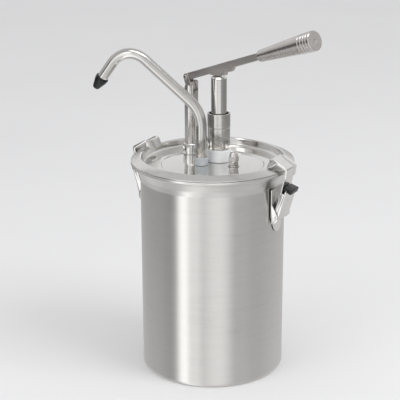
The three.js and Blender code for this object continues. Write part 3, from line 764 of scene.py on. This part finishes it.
# ---------------------------------------------------------------- studs, washers and nuts
for where, c in STUDS.items():
    turn = 0.25 if where == "front" else 0.6
    stud = lathe(f"stud_bar_{where}", [(0, 289), (3.2, 289), (3.9, 289.7), (3.9, 313.3), (3.2, 314), (0, 314)], c, 48, 0.1)
    finish_piece(stud, "nut", "satin_steel", "root", f"flange_stud_{where}")
    washer = lathe(f"washer_{where}", [(4.4, 299.8), (8.3, 299.8), (8.3, 301.2), (4.4, 301.2)], c, 64, 0.25)
    finish_piece(washer, "nut", "satin_steel", "root", f"stud_washer_{where}")
    lock = hex_nut(f"lower_nut_{where}", 13, 301.5, 306.8, 4.3, c, turn)
    finish_piece(lock, "nut", "polished_steel", "root", f"lock_nut_{where}")
    r = 13 / math.sqrt(3)
    dome = lathe(f"domed_nut_{where}", [
        (4.3, 307.1), (r - 0.6, 307.1), (r, 307.8), (r, 312.4), (6.6, 313.9), (6.25, 314.6), (6.0, 316.4), (5.0, 318.8), (2.9, 320.2), (0, 320.6),
        (0, 315.2), (4.3, 315.2)], c, 80, [0.2, 0.2, 0.2, 0.3, 0.3, 0.3, 1.2, 1.6, 1.6, 0, 0, 0.1], n=4)
    shape = lathe("hexa", [(0, 300), (r, 300), (r, 313.8), (6.35, 313.8), (6.35, 326), (0, 326)], segments=6, radius=0,
                  xform=Matrix.Translation((c[0], c[1], 0)) @ Matrix.Rotation(turn + 0.35, 4, "Z"), sharp=20)
    hexa = lathe("hexb", [(0, 300), (r, 300), (r, 314.2), (0, 314.2)], segments=6, radius=0,
                 xform=Matrix.Translation((c[0], c[1], 0)) @ Matrix.Rotation(turn + 0.35, 4, "Z"), sharp=20)
    bpy.data.objects.remove(shape)
    upper = cylinder("upper", 6.45, 312, 326, c, 64)
    hexa = boolean(hexa, upper, "UNION")
    dome = boolean(dome, hexa, "INTERSECT", 26.0)
    finish_piece(dome, "nut", "polished_steel", "root", f"cap_nut_{where}")

# ---------------------------------------------------------------- column, collar and link
step_cut = [(72, 297), (99, 297), (99, 301.3), (73.5, 301.3), (72, 299.8)]
column = lathe("lever_post", [(0, 284), (4.4, 284), (5, 284.6), (5, 299.8), (9.9, 299.8), (9.9, 406.8), (8.7, 408), (0, 408)],
               (COLUMN_X, LEVER_Y), 120, [0, 0.1, 0.1, 0.2, 0.3, 0.9, 0.7, 0], n=4)


def prism(name, outline, y0, y1, at):
    return plate(name, outline, y0, y1, 0.001, 1, Matrix.Translation((at[0], at[1], 0)))


slot_line = [(-15, 384)] + [(15, 384), (15, 420), (-15, 420)]
window = prism("window", slot_line, -5, 5, (COLUMN_X, LEVER_Y))
root_cut = cross_pin("window_root", 5, COLUMN_X, 384, LEVER_Y - 5, LEVER_Y + 5, 0.0, 48,
                     [(0, LEVER_Y - 5.0), (5, LEVER_Y - 5.0), (5, LEVER_Y + 5.0), (0, LEVER_Y + 5.0)])
chamfer = prism("chamfer", [(-15, 392), (-9.5, 392), (-2.5, 403), (-1, 420), (-15, 420)], -15, 15, (COLUMN_X, LEVER_Y))
pin_hole = cross_pin("pin_hole", 2.6, COLUMN_X, FORK_PIN_Z, LEVER_Y - 14, LEVER_Y + 14, 0.0, 40,
                     [(0, LEVER_Y - 14), (2.6, LEVER_Y - 14), (2.6, LEVER_Y + 14), (0, LEVER_Y + 14)])
foot = lathe("foot_cut", step_cut, segments=160, radius=0)
front_cheek = prism("front_cheek", [(-15, 402), (15, 402), (15, 412), (-15, 412)], -15, -4.9, (COLUMN_X, LEVER_Y))
for c in (window, chamfer, front_cheek, pin_hole, foot):
    column = boolean(column, c)
bpy.data.objects.remove(root_cut)
finish_piece(column, "column", "satin_steel", "root", "lever_column")

collar = lathe("post_collar", [(10.2, 299.8), (12.3, 299.8), (12.3, 314.4), (11.2, 315.6), (10.2, 315.6)], (COLUMN_X, LEVER_Y), 96,
               [0.1, 0.4, 1.0, 0.8, 0.2])
collar = boolean(collar, lathe("foot_cut2", step_cut, segments=160, radius=0))
finish_piece(collar, "collar", "polished_steel", "root", "column_collar")
c_washer = lathe("post_washer", [(5.4, 296.7), (11, 296.7), (11, 298.2), (5.4, 298.2)], (COLUMN_X, LEVER_Y), 64, 0.25)
finish_piece(c_washer, "nut", "satin_steel", "root", "column_washer")

fpin = cross_pin("fork_pivot_pin", 2.5, COLUMN_X, FORK_PIN_Z, LEVER_Y - 9.6, LEVER_Y + 9.6, 0.5)
finish_piece(fpin, "pin", "polished_steel", "root", "fork_pin")


def capsule(p, q, r, n=20):
    """Outline round two points."""
    p, q = Vector(p), Vector(q)
    a = math.degrees(math.atan2(q.y - p.y, q.x - p.x))
    return arc_pts(q.x, q.y, r, a - 90, a + 90, n) + arc_pts(p.x, p.y, r, a + 90, a + 270, n)


link = plate("pivot_link", capsule((COLUMN_X, FORK_PIN_Z), LEVER_PIN, 5.2), LEVER_Y - 4.6, LEVER_Y + 4.6, 0.5, 3)
slot_cut = prism("slot_cut", [(-35, LEVER_PIN[1] - 6.4), (25, LEVER_PIN[1] - 6.4), (25, LEVER_PIN[1] + 20), (-35, LEVER_PIN[1] + 20)], -3.1, 3.1,
                 (COLUMN_X, LEVER_Y))
link = boolean(link, slot_cut)
for cx, cz in ((COLUMN_X, FORK_PIN_Z), LEVER_PIN):
    hole = cross_pin("hole", 2.65, cx, cz, LEVER_Y - 12, LEVER_Y + 12, 0.0, 40,
                     [(0, LEVER_Y - 12), (2.65, LEVER_Y - 12), (2.65, LEVER_Y + 12), (0, LEVER_Y + 12)])
    link = boolean(link, hole)
finish_piece(link, "link", "satin_steel", "link", "link_block")
lpin = cross_pin("lever_pivot_pin", 2.5, *LEVER_PIN, LEVER_Y - 6.4, LEVER_Y + 6.4, 0.4, 48,
                 [(0, LEVER_Y - 6.4), (2.6, LEVER_Y - 6.4), (3.3, LEVER_Y - 5.9), (3.3, LEVER_Y - 4.9), (2.5, LEVER_Y - 4.9),
                  (2.5, LEVER_Y + 4.9), (3.3, LEVER_Y + 4.9), (3.3, LEVER_Y + 5.9), (2.6, LEVER_Y + 6.4), (0, LEVER_Y + 6.4)])
finish_piece(lpin, "pin", "polished_steel", "link", "lever_pin")

# ---------------------------------------------------------------- hand lever
bar_frame = Matrix.Translation((LEVER_PIN[0], LEVER_Y, LEVER_PIN[1])) @ Matrix.Rotation(-LEVER_TILT, 4, "Y")
ct, st = math.cos(LEVER_TILT), math.sin(LEVER_TILT)
HALF = 5
lug = [(47, 10.5), (52, 10.1), (66, 10.1), (67.3, 12), (68.3, 15), (70.4, 15), (71.2, 13.2), (77, 13.2), (78, 16),
       (79, 18.6), (81, 18.6), (82, 19), (88.5, 20.3), (90.5, 22), (93, 26)]
lug = [(x * ct + z * st, -x * st + z * ct) for x, z in lug]
lug = [p for p in lug if p[1] < -HALF]
outline = arc_pts(0, 0, HALF, 90, 270, 28) + fillet(
    [(lug[0][0] - 3, -HALF)] + lug + [(lug[-1][0] + 1.5, -HALF)], 0.6, 3)
outline = [tuple(p) for p in outline] + [(BAR_LENGTH - 0.3, -HALF), (BAR_LENGTH - 0.3, HALF)]
bar = plate("lever_flat_bar", outline, -2.8, 2.8, 0.45, 3, bar_frame)
tang_frame = bar_frame @ Matrix.Rotation(math.radians(90), 4, "Y")
tang = lathe("tang", [(0, BAR_LENGTH - 6), (4, BAR_LENGTH - 6), (4, BAR_LENGTH + 17.4), (3.4, BAR_LENGTH + 18), (0, BAR_LENGTH + 18)], segments=48, radius=0.1,
             xform=tang_frame)
bar = boolean(bar, tang, "UNION")
eye = lathe("eye", [(0, -8), (2.65, -8), (2.65, 8), (0, 8)], segments=40, radius=0, xform=bar_frame @ Matrix.Rotation(math.radians(90), 4, "X"))
bar = boolean(bar, eye)
finish_piece(bar, "bar", "lever_steel", "handle", "lever_bar")

g = [(4.4, 0), (7.0, 0), (8.3, 1.4), (11.2, 48), (13.0, 78)]
radii = [0.3, 0.5, 1.0, 12, 4]
for s in (80.5, 86.0, 91.0, 95.5):
    r0 = 13.2 + (13.7 - 13.2) * min(1.0, (s - 80) / 12)
    g += [(r0, s), (r0 - 0.55, s + 0.7), (r0 - 0.55, s + 1.5), (r0, s + 2.2)]
    radii += [0.3, 0.3, 0.3, 0.3]
g += [(13.7, 100.3), (12.7, 101.5), (3.0, 101.5), (2.0, 100.9), (0, 100.9), (0, 20), (4.4, 20)]
radii += [0.5, 0.8, 0.3, 0.3, 0, 0, 0.3]
grip = lathe("lever_hand_grip", g, segments=112, radius=radii, n=3,
             xform=bar_frame @ Matrix.Translation((BAR_LENGTH, 0, 0)) @ Matrix.Rotation(math.radians(90), 4, "Y"))
finish_piece(weighted(grip), "grip", "grip_steel", "handle", "lever_grip")

# ---------------------------------------------------------------- latches
PX, PZ = 109.5, 241.5
QX, QZ = 109.75, 244.9
T = 1.5


def bent_sheet(name, line, radii, half_widths, thick, xform, edge=0.3, n=6):
    """A bent strip: a centre line in X and Z with its bends rounded; half_widths are [distance, half width] pairs along it."""
    pts = [Vector((p[0], 0, p[1])) for p in fillet([Vector((x, z)) for x, z in line], radii, n)]
    dense = [pts[0]]
    for p in pts[1:]:
        k = max(1, int((p - dense[-1]).length / 1.2))
        a = dense[-1]
        dense += [a + (p - a) * (j / k) for j in range(1, k + 1)]
    s, dist = [0.0], 0.0
    for a, b in zip(dense, dense[1:]):
        dist += (b - a).length
        s.append(dist)
    # close the strip's ends with softened edges
    dense = [dense[0] + (dense[1] - dense[0]) * 0.001] + dense[1:]

    def width(d):
        hw = half_widths
        if d <= hw[0][0]:
            return hw[0][1]
        for (d0, w0), (d1, w1) in zip(hw, hw[1:]):
            if d <= d1:
                t = (d - d0) / (d1 - d0)
                return w0 + (w1 - w0) * (t * t * (3 - 2 * t))
        return hw[-1][1]

    last = len(dense) - 1

    def section(i):
        inset = 0.25 if i in (0, last) else 0.0
        return rounded_rect(width(s[i]) - inset, thick / 2 - inset * 0.6, min(edge, thick / 2 - inset * 0.6 - 0.02), 3)

    # an extra ring just inside each end carries the softened edge
    e0 = dense[0] + (dense[1] - dense[0]).normalized() * 0.25
    e1 = dense[-1] - (dense[-1] - dense[-2]).normalized() * 0.25
    dense = [dense[0], e0] + dense[1:-1] + [e1, dense[-1]]
    s = [s[0], s[0] + 0.25] + s[1:-1] + [s[-1] - 0.25, s[-1]]
    last = len(dense) - 1
    return solid_along(name, dense, section, up=(0, 1, 0), xform=xform, sharp=50)


for where, az in LATCH_AZ.items():
    turn = Matrix.Rotation(math.radians(az), 4, "Z")
    base = refined(f"latch_base_{where}", f"latch_bracket_{where}", 0.35, 3)
    finish_piece(base, "sheet", "satin_steel", "root", f"latch_base_{where}")
    handle = refined(f"latch_lever_{where}", f"latch_handle_{where}", 0.35, 3)
    finish_piece(handle, "sheet", "satin_steel", f"latch_lever_{where}_body", f"latch_lever_{where}")
    tip = refined(f"latch_tip_{where}", f"latch_thumb_tip_{where}", 0.8, 4)
    finish_piece(tip, "black", "black_plastic", f"latch_lever_{where}_body", f"latch_tip_{where}")
    cpin = cross_pin(f"claw_pivot_{where}", 1.2, QX, QZ, -16.8, 16.8, 0.25, 32)
    cpin.data.transform(turn)
    finish_piece(cpin, "pin", "polished_steel", f"latch_lever_{where}_body", f"claw_pin_{where}")

    hook = [(93.8, 310.4), (99.3, 324.4), (121.8, 311.1), (119.5, 296.6), (113.4, 268), (111.2, 252)]
    lengths = [0]
    for a, b in zip(hook, hook[1:]):
        lengths.append(lengths[-1] + math.dist(a, b))
    shoulder = lengths[3] - 0.6
    claw = bent_sheet(f"latch_hook_{where}", hook + [(111.05, 248.9), (110.75, 247.2)], [0, 1.6, 1.8, 20, 12, 6, 1.5, 0],
                      [(0, 14.98), (shoulder - 1.2, 14.98), (shoulder, 14), (400, 14)], T, turn, 0.3)
    knuckle = cross_pin("knuckle", 2.5, QX, QZ, -14, 14, 0.3, 48,
                        [(1.5, -14), (2.5, -14), (2.5, 14), (1.5, 14)])
    knuckle.data.transform(turn)
    claw = boolean(claw, knuckle, "UNION", 45)
    # the long edges are turned outwards, as stiffening flanges
    edge = fillet([(100.6, 323.6), (104.2, 324.9), (123.3, 313.6), (124.7, 310.6), (122.9, 299.5), (119.7, 297.2), (120.0, 299.9), (121.6, 310.9)],
                  [0, 2.5, 2.2, 2.2, 2.0, 0, 0, 0.6], 5, closed=True)
    for y0, y1 in ((13.6, 15), (-15, -13.6)):
        claw = boolean(claw, plate("flange", edge, y0, y1, 0.35, 3, turn), "UNION", 45)
    finish_piece(claw, "sheet", "satin_steel", f"latch_claw_{where}_body", f"latch_claw_{where}")


# ---------------------------------------------------------------- stage, lights and world
def make_floor():
    m, nt, p = nodes_of("pale_floor")
    vec, x, y, z = object_coords(nt)
    n = noise(nt, vec, 2.0, 3.0, 0.5)
    nt.links.new(ramp(nt, n, [(0.3, (0.80, 0.80, 0.805)), (0.7, (0.82, 0.82, 0.825))]), p.inputs["Base Color"])
    p.inputs["Roughness"].default_value = 0.9
    me = bpy.data.meshes.new("floor")
    s = 14.0
    me.from_pydata([(-s, -s, -0.0003), (s, -s, -0.0003), (s, s, -0.0003), (-s, s, -0.0003)], [], [[0, 1, 2, 3]])
    me.materials.append(m)
    ob = bpy.data.objects.new("floor", me)
    scene.collection.objects.link(ob)
    ob.visible_glossy = False


make_floor()


def azimuth(deg):
    """Position of a studio panel in the reflection ramp: degrees to the right of the camera."""
    return (deg + 180.0) / 360.0


def make_world():
    w = bpy.data.worlds.new("studio")
    scene.world = w
    w.use_nodes = True
    nt = w.node_tree
    nt.nodes.clear()
    out = nt.nodes.new("ShaderNodeOutputWorld")
    tc = nt.nodes.new("ShaderNodeTexCoord")
    sep = nt.nodes.new("ShaderNodeSeparateXYZ")
    rot = nt.nodes.new("ShaderNodeVectorRotate")
    rot.rotation_type = "Z_AXIS"
    rot.inputs["Angle"].default_value = -CAM_AZ
    nt.links.new(tc.outputs["Generated"], rot.inputs["Vector"])
    nt.links.new(rot.outputs["Vector"], sep.inputs[0])
    a = math_node(nt, "ARCTAN2", sep.outputs["Y"], sep.outputs["X"])
    a = math_node(nt, "MULTIPLY_ADD", a, 1 / (2 * math.pi), 0.5)
    # panels round the object, in a low band and above it: bright strips with grey gaps between them
    low = ramp(nt, a, [(azimuth(d), v) for d, v in (
        (-180, 0.62), (-146, 0.58), (-121, 0.56), (-104, 0.56), (-88, 0.54), (-72, 0.42), (-64, 0.40), (-57, 0.80), (-54, 1.45), (-43, 1.35),
        (-39, 0.82), (-33, 0.88), (-26, 1.0), (-16, 0.62), (0, 0.92), (14, 0.98), (24, 0.82), (33, 0.62), (40, 0.56), (54, 0.60), (68, 0.55),
        (85, 0.56), (104, 0.62), (128, 0.66), (150, 0.64), (180, 0.62))])
    high = ramp(nt, a, [(azimuth(d), v) for d, v in (
        (-180, 0.82), (-128, 0.74), (-95, 0.52), (-68, 0.55), (-58, 0.80), (-54, 1.8), (-44, 1.8), (-40, 0.80), (-35, 0.85), (-30, 1.0),
        (-24, 1.0), (-20, 0.72), (0, 0.80), (14, 0.82), (30, 0.72), (39, 0.58), (54, 0.66), (68, 0.58), (85, 0.57), (104, 0.62),
        (128, 0.74), (161, 0.88), (180, 0.82))])
    band = ramp(nt, math_node(nt, "MULTIPLY_ADD", sep.outputs["Z"], 0.5, 0.5), [
        (0.0, 0.0), (0.19, 0.0), (0.26, 1.0), (0.58, 1.0), (0.66, 0.0), (1.0, 0.0)])

    def blend(fac, c0, c1):
        n = nt.nodes.new("ShaderNodeMix")
        n.data_type = "RGBA"
        for key, kind, link in (("Factor", "VALUE", fac), ("A", "RGBA", c0), ("B", "RGBA", c1)):
            i = next(i for i in n.inputs if i.name == key and i.type == kind)
            if isinstance(link, tuple):
                i.default_value = link
            else:
                nt.links.new(link, i)
        return next(o for o in n.outputs if o.type == "RGBA")

    around = blend(band, high, low)
    # just under the horizon the gaps between the panels are darker, which gives the upright tubes their dark sides
    mid = ramp(nt, a, [(azimuth(d), v) for d, v in (
        (-180, 0.50), (-140, 0.24), (-100, 0.11), (-68, 0.10), (-59, 0.30), (-54, 1.35), (-43, 1.3), (-37, 0.95), (-16, 0.80), (0, 0.95),
        (14, 0.95), (24, 0.78), (33, 0.42), (60, 0.30), (110, 0.26), (150, 0.38), (180, 0.50))])
    under = ramp(nt, math_node(nt, "MULTIPLY_ADD", sep.outputs["Z"], 0.5, 0.5), [
        (0.0, 0.0), (0.352, 0.0), (0.374, 1.0), (0.54, 1.0), (0.58, 0.0), (1.0, 0.0)])
    around = blend(under, around, mid)
    around = blend(map_range(nt, sep.outputs["Z"], 0.55, 0.75, 0.0, 1.0), around, (0.56, 0.56, 0.56, 1.0))
    # an overhead soft box on the near side, which the rolled edges pick up as thin bright lines
    over = math_node(nt, "MULTIPLY", map_range(nt, sep.outputs["Z"], 0.86, 0.90, 0.0, 1.0), map_range(nt, sep.outputs["X"], 0.02, 0.10, 0.0, 1.0))
    around = blend(over, around, (3.4, 3.4, 3.4, 1.0))
    glossy = nt.nodes.new("ShaderNodeBackground")
    nt.links.new(around, glossy.inputs["Color"])
    glossy.inputs["Strength"].default_value = 1.0
    plain = nt.nodes.new("ShaderNodeBackground")
    plain.inputs["Color"].default_value = (0.80, 0.80, 0.805, 1)
    plain.inputs["Strength"].default_value = 1.0
    lp = nt.nodes.new("ShaderNodeLightPath")
    mix = nt.nodes.new("ShaderNodeMixShader")
    nt.links.new(lp.outputs["Is Glossy Ray"], mix.inputs["Fac"])
    nt.links.new(plain.outputs[0], mix.inputs[1])
    nt.links.new(glossy.outputs[0], mix.inputs[2])
    nt.links.new(mix.outputs[0], out.inputs["Surface"])


make_world()


def area(name, where, target, size, energy, glossy=False):
    l = bpy.data.lights.new(name, "AREA")
    l.shape = "RECTANGLE"
    l.size, l.size_y = size
    l.energy = energy
    ob = bpy.data.objects.new(name, l)
    scene.collection.objects.link(ob)
    p = Vector(where)
    ob.matrix_world = Matrix.Translation(p) @ (Vector(target) - p).to_track_quat("-Z", "Y").to_matrix().to_4x4()
    ob.visible_glossy = glossy
    return ob


def polar(az_from_camera, dist, z):
    a = CAM_AZ + math.radians(az_from_camera)
    return (dist * math.cos(a), dist * math.sin(a), z)


area("key", polar(60, 1.7, 1.9), (0, 0, 0.15), (1.2, 1.2), 20)
area("fill", polar(-50, 2.0, 1.2), (0, 0, 0.2), (1.4, 1.4), 8)

scene.view_settings.view_transform = "Standard"
scene.view_settings.look = "None"
scene.view_settings.exposure = 0.0
scene.view_settings.gamma = 1.0

bpy.context.view_layer.update()
